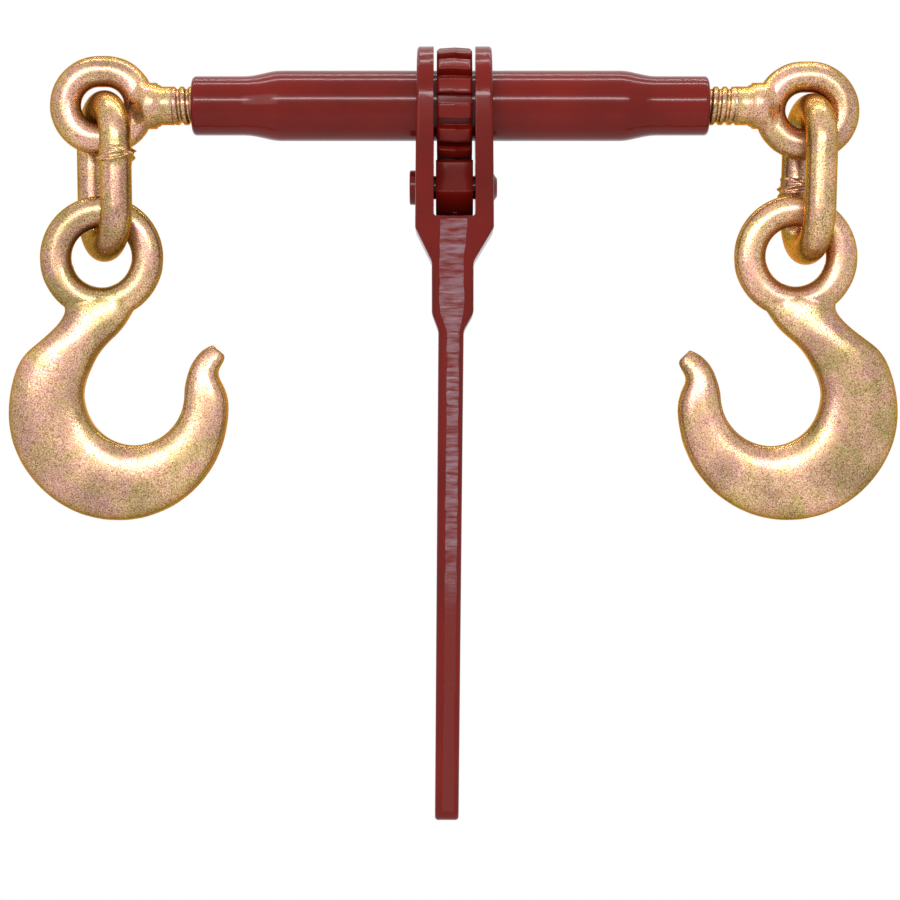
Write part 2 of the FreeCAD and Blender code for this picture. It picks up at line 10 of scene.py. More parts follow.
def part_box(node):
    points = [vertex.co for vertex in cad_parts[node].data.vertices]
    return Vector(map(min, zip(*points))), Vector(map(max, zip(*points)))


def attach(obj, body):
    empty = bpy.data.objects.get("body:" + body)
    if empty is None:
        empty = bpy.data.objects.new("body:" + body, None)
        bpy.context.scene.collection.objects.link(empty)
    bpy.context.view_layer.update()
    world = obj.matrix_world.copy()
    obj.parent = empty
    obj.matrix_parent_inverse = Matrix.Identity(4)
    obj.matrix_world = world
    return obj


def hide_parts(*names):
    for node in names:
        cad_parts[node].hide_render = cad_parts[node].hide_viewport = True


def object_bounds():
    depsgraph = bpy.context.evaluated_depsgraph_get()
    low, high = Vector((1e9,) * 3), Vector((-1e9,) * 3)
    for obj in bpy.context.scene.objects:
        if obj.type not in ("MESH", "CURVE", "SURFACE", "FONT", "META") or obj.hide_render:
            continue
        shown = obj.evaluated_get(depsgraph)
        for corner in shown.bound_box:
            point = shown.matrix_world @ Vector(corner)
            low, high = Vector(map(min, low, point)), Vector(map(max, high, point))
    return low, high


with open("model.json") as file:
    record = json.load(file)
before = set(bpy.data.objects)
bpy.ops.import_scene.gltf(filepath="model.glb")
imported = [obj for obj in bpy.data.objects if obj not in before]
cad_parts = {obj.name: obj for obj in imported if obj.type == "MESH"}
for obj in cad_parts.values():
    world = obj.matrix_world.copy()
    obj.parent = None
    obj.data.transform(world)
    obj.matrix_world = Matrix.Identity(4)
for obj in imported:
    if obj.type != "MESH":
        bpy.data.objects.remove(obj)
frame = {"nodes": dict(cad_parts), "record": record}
cad_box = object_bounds()
mm = 0.001

# Barrel tube: one seamless steel tube, swaged down at both ends for the screws' threads, dipped in glossy
# maroon enamel. The film is thick enough to level out on the tube and only shows a faint waviness.

def put(tree, kind, values=None, **settings):
    """Add a node, set its plain settings and the values of its sockets."""
    node = tree.nodes.new(kind)
    for name, value in settings.items():
        setattr(node, name, value)
    for name, value in (values or {}).items():
        node.inputs[name].default_value = value
    return node


def finish_group(name, inputs, outputs):
    """An empty shader node group with its sockets made, and its two end nodes."""
    group = bpy.data.node_groups.new(name, "ShaderNodeTree")
    for socket, (kind, value) in inputs.items():
        made = group.interface.new_socket(socket, in_out="INPUT", socket_type=kind)
        if value is not None:
            made.default_value = value
    for socket, kind in outputs.items():
        group.interface.new_socket(socket, in_out="OUTPUT", socket_type=kind)
    return group, group.nodes.new("NodeGroupInput"), group.nodes.new("NodeGroupOutput")


def enamel_film():
    """Sagging, orange peel and dust nibs of a dipped enamel film."""
    group, given, result = finish_group(
        "enamel_film",
        {"Vector": ("NodeSocketVector", None), "Sag": ("NodeSocketFloat", 0.3), "Peel": ("NodeSocketFloat", 0.2),
         "Nibs": ("NodeSocketFloat", 0.2)},
        {"Height": "NodeSocketFloat", "Tone": "NodeSocketFloat"})
    wave = put(group, "ShaderNodeTexNoise", {"Scale": 70.0, "Detail": 2.0, "Roughness": 0.4})
    peel = put(group, "ShaderNodeTexNoise", {"Scale": 420.0, "Detail": 2.0, "Roughness": 0.45})
    nib = put(group, "ShaderNodeTexVoronoi", {"Scale": 190.0, "Randomness": 1.0})
    nib_top = put(group, "ShaderNodeMapRange", {"From Min": 0.10, "From Max": 0.0, "To Min": 0.0, "To Max": 1.0},
                  interpolation_type="SMOOTHSTEP")
    tone = put(group, "ShaderNodeTexNoise", {"Scale": 26.0, "Detail": 3.0, "Roughness": 0.55})
    sagged = put(group, "ShaderNodeMath", operation="MULTIPLY")
    peeled = put(group, "ShaderNodeMath", operation="MULTIPLY_ADD")
    nibbed = put(group, "ShaderNodeMath", operation="MULTIPLY_ADD")
    for texture in (wave, peel, nib, tone):
        group.links.new(given.outputs["Vector"], texture.inputs["Vector"])
    group.links.new(wave.outputs["Fac"], sagged.inputs[0])
    group.links.new(given.outputs["Sag"], sagged.inputs[1])
    group.links.new(peel.outputs["Fac"], peeled.inputs[0])
    group.links.new(given.outputs["Peel"], peeled.inputs[1])
    group.links.new(sagged.outputs[0], peeled.inputs[2])
    group.links.new(nib.outputs["Distance"], nib_top.inputs["Value"])
    group.links.new(nib_top.outputs["Result"], nibbed.inputs[0])
    group.links.new(given.outputs["Nibs"], nibbed.inputs[1])
    group.links.new(peeled.outputs[0], nibbed.inputs[2])
    group.links.new(nibbed.outputs[0], result.inputs["Height"])
    group.links.new(tone.outputs["Fac"], result.inputs["Tone"])
    return group


enamel_film_group = enamel_film()


def maroon_enamel(name, sag, peel, nibs, roughness, grain=0.0):
    """Glossy maroon enamel; grain is how much of a rough casting shows through the film."""
    material = bpy.data.materials.new(name)
    material.use_nodes = True
    tree = material.node_tree
    shader = tree.nodes["Principled BSDF"]
    where = put(tree, "ShaderNodeTexCoord")
    film = put(tree, "ShaderNodeGroup", node_tree=enamel_film_group)
    film.inputs["Sag"].default_value = sag
    film.inputs["Peel"].default_value = peel
    film.inputs["Nibs"].default_value = nibs
    colour = put(tree, "ShaderNodeValToRGB")
    colour.color_ramp.elements[0].position = 0.30
    colour.color_ramp.elements[0].color = (0.120, 0.0045, 0.0020, 1.0)
    colour.color_ramp.elements[1].position = 0.72
    colour.color_ramp.elements[1].color = (0.170, 0.0070, 0.0035, 1.0)
    sand = put(tree, "ShaderNodeTexNoise", {"Scale": 900.0, "Detail": 3.0, "Roughness": 0.6})
    height = put(tree, "ShaderNodeMath", operation="MULTIPLY_ADD")
    height.inputs[1].default_value = grain
    bump = put(tree, "ShaderNodeBump", {"Strength": 0.6, "Distance": 0.35 * mm})
    tree.links.new(where.outputs["Object"], film.inputs["Vector"])
    tree.links.new(where.outputs["Object"], sand.inputs["Vector"])
    tree.links.new(film.outputs["Tone"], colour.inputs["Fac"])
    tree.links.new(colour.outputs["Color"], shader.inputs["Base Color"])
    tree.links.new(sand.outputs["Fac"], height.inputs[0])
    tree.links.new(film.outputs["Height"], height.inputs[2])
    tree.links.new(height.outputs[0], bump.inputs["Height"])
    tree.links.new(bump.outputs["Normal"], shader.inputs["Normal"])
    shader.inputs["Roughness"].default_value = roughness
    shader.inputs["Specular IOR Level"].default_value = 0.16
    shader.inputs["Coat Weight"].default_value = 0.10
    shader.inputs["Coat Roughness"].default_value = 0.05
    return material


tube_enamel = maroon_enamel("tube_enamel", sag=0.5, peel=0.03, nibs=0.05, roughness=0.17)
barrel = frame["nodes"]["barrel_tube"]
barrel.data.materials.clear()
barrel.data.materials.append(tube_enamel)

# Ratchet wheel: a steel casting with fourteen square teeth, pressed on to the middle of the barrel before the
# paint. The two halves of its mould sat a little out of line, so every tooth has a step near its middle.
wheel_parting = 0.75 * mm
wheel_mismatch = math.radians(0.5)
wheel_edge = 0.45 * mm


def joined_mesh(node):
    """A bmesh of a CAD node's mesh, with its loose triangles joined into faces."""
    shape = bmesh.new()
    shape.from_mesh(frame["nodes"][node].data)
    bmesh.ops.remove_doubles(shape, verts=shape.verts, dist=0.002 * mm)
    return shape


def flat_faces_joined(shape, angle=0.6):
    bmesh.ops.dissolve_limit(shape, angle_limit=math.radians(angle), verts=shape.verts, edges=shape.edges)


def sharp_edges_rounded(shape, width, angle=32.0, wanted=lambda edge: True):
    sharp = [e for e in shape.edges if len(e.link_faces) == 2 and wanted(e)
             and e.calc_face_angle(0.0) > math.radians(angle)]
    bmesh.ops.bevel(shape, geom=sharp, offset=width, offset_type="OFFSET", affect="EDGES", segments=2,
                    profile=0.5, material=-1, clamp_overlap=True)


def finished_piece(shape, name, material, body, sharp=38.0):
    """Turn a bmesh into a piece that rides on a body."""
    bmesh.ops.triangulate(shape, faces=[f for f in shape.faces if len(f.verts) > 4])
    shape.normal_update()
    mesh = bpy.data.meshes.new(name)
    shape.to_mesh(mesh)
    shape.free()
    mesh.materials.append(material)
    mesh.polygons.foreach_set("use_smooth", [True] * len(mesh.polygons))
    mesh.set_sharp_from_angle(angle=math.radians(sharp))
    piece = bpy.data.objects.new(name, mesh)
    bpy.context.scene.collection.objects.link(piece)
    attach(piece, body)
    return piece


cast_enamel = maroon_enamel("cast_enamel", sag=0.35, peel=0.14, nibs=0.15, roughness=0.26, grain=0.10)
wheel = joined_mesh("ratchet_wheel")
flat_faces_joined(wheel)
for cut in (wheel_parting - 0.15 * mm, wheel_parting + 0.15 * mm):
    bmesh.ops.bisect_plane(wheel, geom=wheel.verts[:] + wheel.edges[:] + wheel.faces[:], plane_co=(cut, 0, 0),
                           plane_no=(1, 0, 0))
for turn in (-0.5, 0.5):
    half = [v for v in wheel.verts if (v.co.x - wheel_parting) * turn > 0]
    bmesh.ops.rotate(wheel, verts=half, cent=(0, 0, 0), matrix=Matrix.Rotation(wheel_mismatch * turn, 3, "X"))
sharp_edges_rounded(wheel, wheel_edge, wanted=lambda edge: abs(
    (edge.verts[0].co.x + edge.verts[1].co.x) / 2 - wheel_parting) > 0.3 * mm)
wheel = finished_piece(wheel, "ratchet_wheel_cast", cast_enamel, "barrel")
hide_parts("ratchet_wheel")

# Handle: a drop forging, with a fork that runs on the barrel and an I-section lever below it. Its front and back
# fall away to both sides, and the flash sheared off along them left a flat, wrinkled band under the paint.
fork_line, lever_line = -50.0, -351.0
# down the handle: height, then its middle along X, and from there the crown's left and right edges, the slopes of
# its left and right flanks, and the flash band's left and right edges
handle_rows = [(fork_line, 0.0, -17.0, 4.0, 0.45, 0.05, -7.0, 6.4), (-61.5, 0.0, -15.5, 4.2, 0.45, 0.06, -7.0, 6.2),
               (-78.0, -0.9, -7.6, 5.0, 0.36, 0.10, -6.6, 5.4), (-103.0, -0.9, -7.4, 5.2, 0.36, 0.12, -6.2, 5.4),
               (-111.5, -1.7, -2.2, 4.0, 0.34, 0.30, -1.9, 4.0), (-230.0, -2.74, -2.2, 3.8, 0.30, 0.30, -1.9, 3.8),
               (lever_line, -3.8, -2.6, 3.4, 0.22, 0.22, -2.0, 3.4)]
# the handle's half depth along Y at each height, and how its crowned faces run out inside and at the fork
depth_line = [(0.0, 29.0), (-40.0, 25.6), (-61.5, 20.4), (-86.0, 17.6), (-111.5, 16.5), (-351.0, 13.5)]
crown_skin, crown_fade = 5 * mm, 3 * mm
crown_top, crown_run_in = -42 * mm, 10 * mm
flash_top, flash_bottom = -57.5, -346.0
flash_root = 0.9 * mm           # how far the band is sunk in the forging
flash_proud = 0.22 * mm
flash_ridge = 0.42 * mm
flash_steps = (9, 760)


def handle_row(z):
    """The values of handle_rows at a height, in metres where they are lengths."""
    at = min(fork_line, max(lever_line, z / mm))
    for above, below in zip(handle_rows, handle_rows[1:]):
        if at >= below[0]:
            share = (above[0] - at) / (above[0] - below[0])
            middle, left, right, left_slope, right_slope, band_left, band_right = (
                a + (b - a) * share for a, b in zip(above[1:], below[1:]))
            return middle * mm, left * mm, right * mm, left_slope, right_slope, band_left * mm, band_right * mm


forged_enamel = maroon_enamel("forged_enamel", sag=0.45, peel=0.10, nibs=0.12, roughness=0.19, grain=0.05)


def sheen_painted_enamel(name, wrinkle_scale, wrinkle_depth):
    """Enamel over sheared flash, carrying a painted sheen: a pale lavender painted reflection on the wrinkles'
    ridges, kept to the upper part of the lever, and plain maroon in their grooves.
    """
    material = bpy.data.materials.new(name)
    material.use_nodes = True
    tree = material.node_tree
    shader = tree.nodes["Principled BSDF"]
    where = put(tree, "ShaderNodeTexCoord")
    stretch = put(tree, "ShaderNodeMapping", {"Scale": (0.16, 0.16, 1.0)})
    wrinkles = put(tree, "ShaderNodeTexNoise", {"Scale": wrinkle_scale, "Detail": 3.0, "Roughness": 0.62})
    worn = put(tree, "ShaderNodeTexNoise", {"Scale": 30.0, "Detail": 3.0, "Roughness": 0.6})
    # painted highlights: the wrinkles' ridges take the pale colour
    ridge_highlight = put(tree, "ShaderNodeMapRange", {"From Min": 0.36, "From Max": 0.62})
    lower = put(tree, "ShaderNodeSeparateXYZ")
    # painted sheen: the pale colour shows only on the lever's upper part, above about 0.2 m down, and fades out
    # below it
    upper_lever_sheen = put(tree, "ShaderNodeMapRange", {"From Min": -0.255, "From Max": -0.205},
                 interpolation_type="SMOOTHSTEP")
    amount = put(tree, "ShaderNodeMath", operation="MULTIPLY")
    shown = put(tree, "ShaderNodeMath", operation="MULTIPLY")
    patchy = put(tree, "ShaderNodeMapRange", {"From Min": 0.30, "From Max": 0.62, "To Min": 0.55, "To Max": 1.0})
    # the second colour, a pale lavender, is a painted reflection on the maroon enamel
    colour = put(tree, "ShaderNodeMixRGB")
    colour.inputs["Color1"].default_value = (0.150, 0.0100, 0.0060, 1.0)
    colour.inputs["Color2"].default_value = (0.255, 0.1450, 0.1700, 1.0)
    bump = put(tree, "ShaderNodeBump", {"Strength": 0.7, "Distance": wrinkle_depth})
    tree.links.new(where.outputs["Object"], stretch.inputs["Vector"])
    tree.links.new(stretch.outputs["Vector"], wrinkles.inputs["Vector"])
    tree.links.new(where.outputs["Object"], worn.inputs["Vector"])
    tree.links.new(where.outputs["Object"], lower.inputs["Vector"])
    tree.links.new(lower.outputs["Z"], upper_lever_sheen.inputs["Value"])
    tree.links.new(wrinkles.outputs["Fac"], ridge_highlight.inputs["Value"])
    tree.links.new(worn.outputs["Fac"], patchy.inputs["Value"])
    tree.links.new(ridge_highlight.outputs["Result"], amount.inputs[0])
    tree.links.new(patchy.outputs["Result"], amount.inputs[1])
    tree.links.new(amount.outputs[0], shown.inputs[0])
    tree.links.new(upper_lever_sheen.outputs["Result"], shown.inputs[1])
    tree.links.new(shown.outputs[0], colour.inputs["Fac"])
    tree.links.new(colour.outputs["Color"], shader.inputs["Base Color"])
    tree.links.new(wrinkles.outputs["Fac"], bump.inputs["Height"])
    tree.links.new(bump.outputs["Normal"], shader.inputs["Normal"])
    shader.inputs["Roughness"].default_value = 0.30
    shader.inputs["Specular IOR Level"].default_value = 0.30
    return material


# the flash bands' enamel, with a painted sheen and painted highlights on its wrinkles
flash_enamel_painted_sheen = sheen_painted_enamel("flash_enamel_painted_sheen", 520.0, 0.30 * mm)
handle = joined_mesh("handle")
flat_faces_joined(handle)
sharp_edges_rounded(handle, 0.5 * mm)
for cut in range(-19, 20):
    bmesh.ops.bisect_plane(handle, geom=[g for g in handle.verts[:] + handle.edges[:] + handle.faces[:]
                                         if not isinstance(g, bmesh.types.BMVert) or g.co.z < -38 * mm],
                           plane_co=(cut * mm, 0, 0), plane_no=(1, 0, 0), dist=0.01 * mm)
for cut in range(48, 352, 8):
    bmesh.ops.bisect_plane(handle, geom=handle.verts[:] + handle.edges[:] + handle.faces[:],
                           plane_co=(0, 0, -cut * mm), plane_no=(0, 0, 1), dist=0.01 * mm)
for vert in handle.verts:
    if vert.co.z > crown_top:
        continue
    middle, left, right, left_slope, right_slope, _, _ = handle_row(vert.co.z)
    off = vert.co.x - middle
    fall = max(0.0, left - off) * left_slope + max(0.0, off - right) * right_slope
    for (z0, y0), (z1, y1) in zip(depth_line, depth_line[1:]):
        if vert.co.z / mm >= z1:
            break
    depth = (y0 + (y1 - y0) * min(1.0, (z0 - vert.co.z / mm) / (z0 - z1))) * mm
    near_face = min(1.0, max(0.0, (abs(vert.co.y) - depth + crown_skin) / crown_fade))
    fade = min(1.0, (crown_top - vert.co.z) / crown_run_in)
    vert.co.y -= math.copysign(fall * near_face * fade, vert.co.y)
handle.normal_update()
handle_surface = BVHTree.FromBMesh(handle)
handle = finished_piece(handle, "handle_forged", forged_enamel, "handle", sharp=24)
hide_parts("handle")
for face, towards in (("front", Vector((0, 1, 0))), ("back", Vector((0, -1, 0)))):
    band = bmesh.new()
    bmesh.ops.create_grid(band, x_segments=flash_steps[0], y_segments=flash_steps[1], size=0.5)
    for vert in list(band.verts):
        share_across, share_along = vert.co.x + 0.5, 0.5 - vert.co.y
        z = (flash_top + (flash_bottom - flash_top) * share_along) * mm
        middle, _, _, _, _, band_left, band_right = handle_row(z)
        ragged = noise.noise(Vector((0.3, z * 150, towards.y))) * 0.5 * mm
        x = middle + band_left + (band_right - band_left) * share_across + ragged * (1 - 2 * share_across)
        hit = handle_surface.ray_cast(Vector((x, 0, z)) - towards * 60 * mm, towards)
        bunched = 0.5 + 0.5 * noise.noise(Vector((4.0, z * 45, towards.y)))
        crease = noise.noise(Vector((x * 110, z * 700, towards.y * 5)))
        finer = noise.noise(Vector((x * 160, z * 1500, towards.y * 9)))
        ridge = max(0.0, crease - 0.08) * 1.5 + max(0.0, finer) * 0.35
        worn = 1 - 0.8 * min(1.0, max(0.0, (-215 * mm - z) / (60 * mm)))
        edge = min(1.0, (0.5 - abs(share_across - 0.5)) * 9)
        vert.co = Vector((x, hit[0].y - towards.y * (flash_proud + ridge * flash_ridge * bunched) * edge * worn, z))
    rim = bmesh.ops.extrude_face_region(band, geom=band.faces[:])
    under = [v for v in rim["geom"] if isinstance(v, bmesh.types.BMVert)]
    bmesh.ops.translate(band, verts=under, vec=towards * flash_root)
    bmesh.ops.recalc_face_normals(band, faces=band.faces)
    finished_piece(band, "handle_flash_" + face, flash_enamel_painted_sheen, "handle", sharp=60)

# Pawl: a double-ended forging between the fork's cheeks. Its pin goes through both cheeks, with a turned head
# on the left and the right end peened over, all painted over in place.
pawl = joined_mesh("pawl")
flat_faces_joined(pawl)
sharp_edges_rounded(pawl, 0.5 * mm)
pawl = finished_piece(pawl, "pawl_forged", forged_enamel, "pawl")
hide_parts("pawl")
pin = frame["nodes"]["pawl_pin"]
pin.data.materials.clear()
pin.data.materials.append(forged_enamel)

# Detent: a round-nosed plunger on a coil spring in the handle's crotch, which holds the pawl on either side.
# Both are bare hardened steel, bright from grinding and dark in the wire's grain.

def worked_steel(name, colour, roughness, grain_scale, grain_depth):
    material = bpy.data.materials.new(name)
    material.use_nodes = True
    tree = material.node_tree
    shader = tree.nodes["Principled BSDF"]
    where = put(tree, "ShaderNodeTexCoord")
    grain = put(tree, "ShaderNodeTexNoise", {"Scale": grain_scale, "Detail": 4.0, "Roughness": 0.6})
    tint = put(tree, "ShaderNodeMixRGB")
    tint.inputs["Color1"].default_value = (*[c * 0.75 for c in colour], 1.0)
    tint.inputs["Color2"].default_value = (*colour, 1.0)
    bump = put(tree, "ShaderNodeBump", {"Strength": 0.5, "Distance": grain_depth})
    tree.links.new(where.outputs["Object"], grain.inputs["Vector"])
    tree.links.new(grain.outputs["Fac"], tint.inputs["Fac"])
    tree.links.new(tint.outputs["Color"], shader.inputs["Base Color"])
    tree.links.new(grain.outputs["Fac"], bump.inputs["Height"])
    tree.links.new(bump.outputs["Normal"], shader.inputs["Normal"])
    shader.inputs["Metallic"].default_value = 1.0
    shader.inputs["Roughness"].default_value = roughness
    return material


ground_steel = worked_steel("ground_steel", (0.56, 0.56, 0.58), 0.28, 700.0, 0.04 * mm)
spring_wire = worked_steel("spring_wire", (0.30, 0.30, 0.32), 0.40, 1500.0, 0.05 * mm)
for node, material in (("detent_plunger", ground_steel), ("detent_spring", spring_wire),
                       ("left_stop_ring", ground_steel), ("right_stop_ring", ground_steel),
                       ("left_stop_pin", ground_steel), ("right_stop_pin", ground_steel)):
    frame["nodes"][node].data.materials.clear()
    frame["nodes"][node].data.materials.append(material)

# Eye bolts: forged steel, the left with a right hand rolled thread and the right with a left hand one, so the
# turning barrel draws both in. Shot-blasted, then zinc plated with a yellow chromate that shines pink and green.
thread_pitch = 4.4 * mm
thread_crest = 9.5 * mm
thread_depth = 1.25 * mm
thread_inner_end = {"left": -14.0 * mm, "right": 14.2 * mm}
thread_outer_end = {"left": -138.5 * mm, "right": 138.7 * mm}
thread_runout = 1.8 * mm


def blasted_skin():
    """Pits and speckle of a shot-blasted forging, and slow patches in its plating."""
    group, given, result = finish_group(
        "blasted_skin",
        {"Vector": ("NodeSocketVector", None), "Pit Scale": ("NodeSocketFloat", 900.0),
         "Patch Scale": ("NodeSocketFloat", 60.0)},
        {"Height": "NodeSocketFloat", "Speckle": "NodeSocketFloat", "Patch": "NodeSocketFloat",
         "Hue": "NodeSocketFloat"})
    pits = put(group, "ShaderNodeTexNoise", {"Detail": 3.0, "Roughness": 0.62})
    speckle = put(group, "ShaderNodeTexNoise", {"Detail": 2.0, "Roughness": 0.7})
    coarser = put(group, "ShaderNodeMath", operation="MULTIPLY")
    coarser.inputs[1].default_value = 0.85
    patch = put(group, "ShaderNodeTexNoise", {"Detail": 3.0, "Roughness": 0.55, "Distortion": 0.6})
    hue = put(group, "ShaderNodeTexNoise", {"Detail": 4.0, "Roughness": 0.6, "Distortion": 1.2})
    finer = put(group, "ShaderNodeMath", operation="MULTIPLY")
    finer.inputs[1].default_value = 2.2
    for texture in (pits, speckle, patch, hue):
        group.links.new(given.outputs["Vector"], texture.inputs["Vector"])
    group.links.new(given.outputs["Pit Scale"], pits.inputs["Scale"])
    group.links.new(given.outputs["Pit Scale"], coarser.inputs[0])
    group.links.new(coarser.outputs[0], speckle.inputs["Scale"])
    group.links.new(given.outputs["Patch Scale"], patch.inputs["Scale"])
    group.links.new(given.outputs["Patch Scale"], finer.inputs[0])
    group.links.new(finer.outputs[0], hue.inputs["Scale"])
    group.links.new(pits.outputs["Fac"], result.inputs["Height"])
    group.links.new(speckle.outputs["Fac"], result.inputs["Speckle"])
    group.links.new(patch.outputs["Fac"], result.inputs["Patch"])
    group.links.new(hue.outputs["Fac"], result.inputs["Hue"])
    return group


blasted_skin_group = blasted_skin()


def yellow_chromate(name, pit_scale, pit_depth, patch_scale):
    """Zinc plate with a yellow chromate: rosy on the broad faces, with a painted olive shade and then a painted
    orange rim reflection round the flanks.
    """
    material = bpy.data.materials.new(name)
    material.use_nodes = True
    tree = material.node_tree
    shader = tree.nodes["Principled BSDF"]
    where = put(tree, "ShaderNodeTexCoord")
    skin = put(tree, "ShaderNodeGroup", node_tree=blasted_skin_group)
    skin.inputs["Pit Scale"].default_value = pit_scale
    skin.inputs["Patch Scale"].default_value = patch_scale
    grains = put(tree, "ShaderNodeValToRGB")
    ramp = grains.color_ramp
    ramp.elements[0].position, ramp.elements[0].color = 0.33, (0.20, 0.14, 0.07, 1.0)
    ramp.elements[1].position, ramp.elements[1].color = 0.68, (0.98, 0.92, 0.82, 1.0)
    for position, colour in ((0.44, (0.46, 0.27, 0.14, 1.0)), (0.52, (0.78, 0.50, 0.46, 1.0)),
                             (0.60, (0.86, 0.56, 0.28, 1.0))):
        ramp.elements.new(position).color = colour
    hues = put(tree, "ShaderNodeValToRGB")
    hues.color_ramp.elements[0].position, hues.color_ramp.elements[0].color = 0.35, (0.84, 0.92, 0.58, 1.0)
    hues.color_ramp.elements[1].position, hues.color_ramp.elements[1].color = 0.62, (1.0, 0.86, 0.92, 1.0)
    hues.color_ramp.elements.new(0.48).color = (1.0, 0.96, 0.78, 1.0)
    toned = put(tree, "ShaderNodeVectorMath", operation="MULTIPLY")
    # painted light by how far the surface turns from the Y axis: faces along Y keep their colour, the flanks darken
    # to a painted olive shade, and the edges turn to a painted orange rim reflection
    ways = put(tree, "ShaderNodeSeparateXYZ")
    flatness = put(tree, "ShaderNodeMath", operation="ABSOLUTE")
    painted_rim_and_shade = put(tree, "ShaderNodeValToRGB")
    painted_rim_and_shade.color_ramp.elements[0].position, painted_rim_and_shade.color_ramp.elements[0].color = 0.12, (1.0, 0.58, 0.18, 1.0)
    painted_rim_and_shade.color_ramp.elements[1].position, painted_rim_and_shade.color_ramp.elements[1].color = 0.93, (1.0, 1.0, 1.0, 1.0)
    for position, colour in ((0.36, (0.46, 0.44, 0.14, 1.0)), (0.66, (0.86, 0.80, 0.58, 1.0))):
        painted_rim_and_shade.color_ramp.elements.new(position).color = colour
    edged = put(tree, "ShaderNodeVectorMath", operation="MULTIPLY")
    cloud = put(tree, "ShaderNodeMapRange", {"From Min": 0.34, "From Max": 0.66, "To Min": 0.62, "To Max": 1.10})
    clouded = put(tree, "ShaderNodeVectorMath", operation="SCALE")
    rough = put(tree, "ShaderNodeMapRange", {"From Min": 0.35, "From Max": 0.65, "To Min": 0.36, "To Max": 0.20})
    bump = put(tree, "ShaderNodeBump", {"Strength": 1.0, "Distance": pit_depth})
    tree.links.new(where.outputs["Object"], skin.inputs["Vector"])
    tree.links.new(skin.outputs["Speckle"], grains.inputs["Fac"])
    tree.links.new(skin.outputs["Hue"], hues.inputs["Fac"])
    tree.links.new(grains.outputs["Color"], toned.inputs[0])
    tree.links.new(hues.outputs["Color"], toned.inputs[1])
    tree.links.new(where.outputs["Normal"], ways.inputs["Vector"])
    tree.links.new(ways.outputs["Y"], flatness.inputs[0])
    tree.links.new(flatness.outputs[0], painted_rim_and_shade.inputs["Fac"])
    tree.links.new(toned.outputs["Vector"], edged.inputs[0])
    tree.links.new(painted_rim_and_shade.outputs["Color"], edged.inputs[1])
    tree.links.new(skin.outputs["Patch"], cloud.inputs["Value"])
    tree.links.new(edged.outputs["Vector"], clouded.inputs[0])
    tree.links.new(cloud.outputs["Result"], clouded.inputs["Scale"])
    tree.links.new(clouded.outputs["Vector"], shader.inputs["Base Color"])
    tree.links.new(skin.outputs["Speckle"], rough.inputs["Value"])
    tree.links.new(rough.outputs["Result"], shader.inputs["Roughness"])
    tree.links.new(skin.outputs["Height"], bump.inputs["Height"])
    tree.links.new(bump.outputs["Normal"], shader.inputs["Normal"])
    shader.inputs["Metallic"].default_value = 0.85
    shader.inputs["Specular Tint"].default_value = (1.0, 0.66, 0.16, 1.0)
    return material


def parting_line(shape, wanted, height, half_width):
    """Raise the trimmed flash of the two dies along the middle plane, where a place is wanted."""
    for y in (-half_width, 0.0, half_width):
        bmesh.ops.bisect_plane(shape, geom=shape.verts[:] + shape.edges[:] + shape.faces[:],
                               plane_co=(0, y, 0), plane_no=(0, 1, 0), dist=0.001 * mm)
    shape.normal_update()
    for vert in shape.verts:
        if abs(vert.co.y) < 0.01 * mm and wanted(vert.co):
            vert.co += vert.normal * height * (0.8 + 0.5 * noise.noise(vert.co * 160))


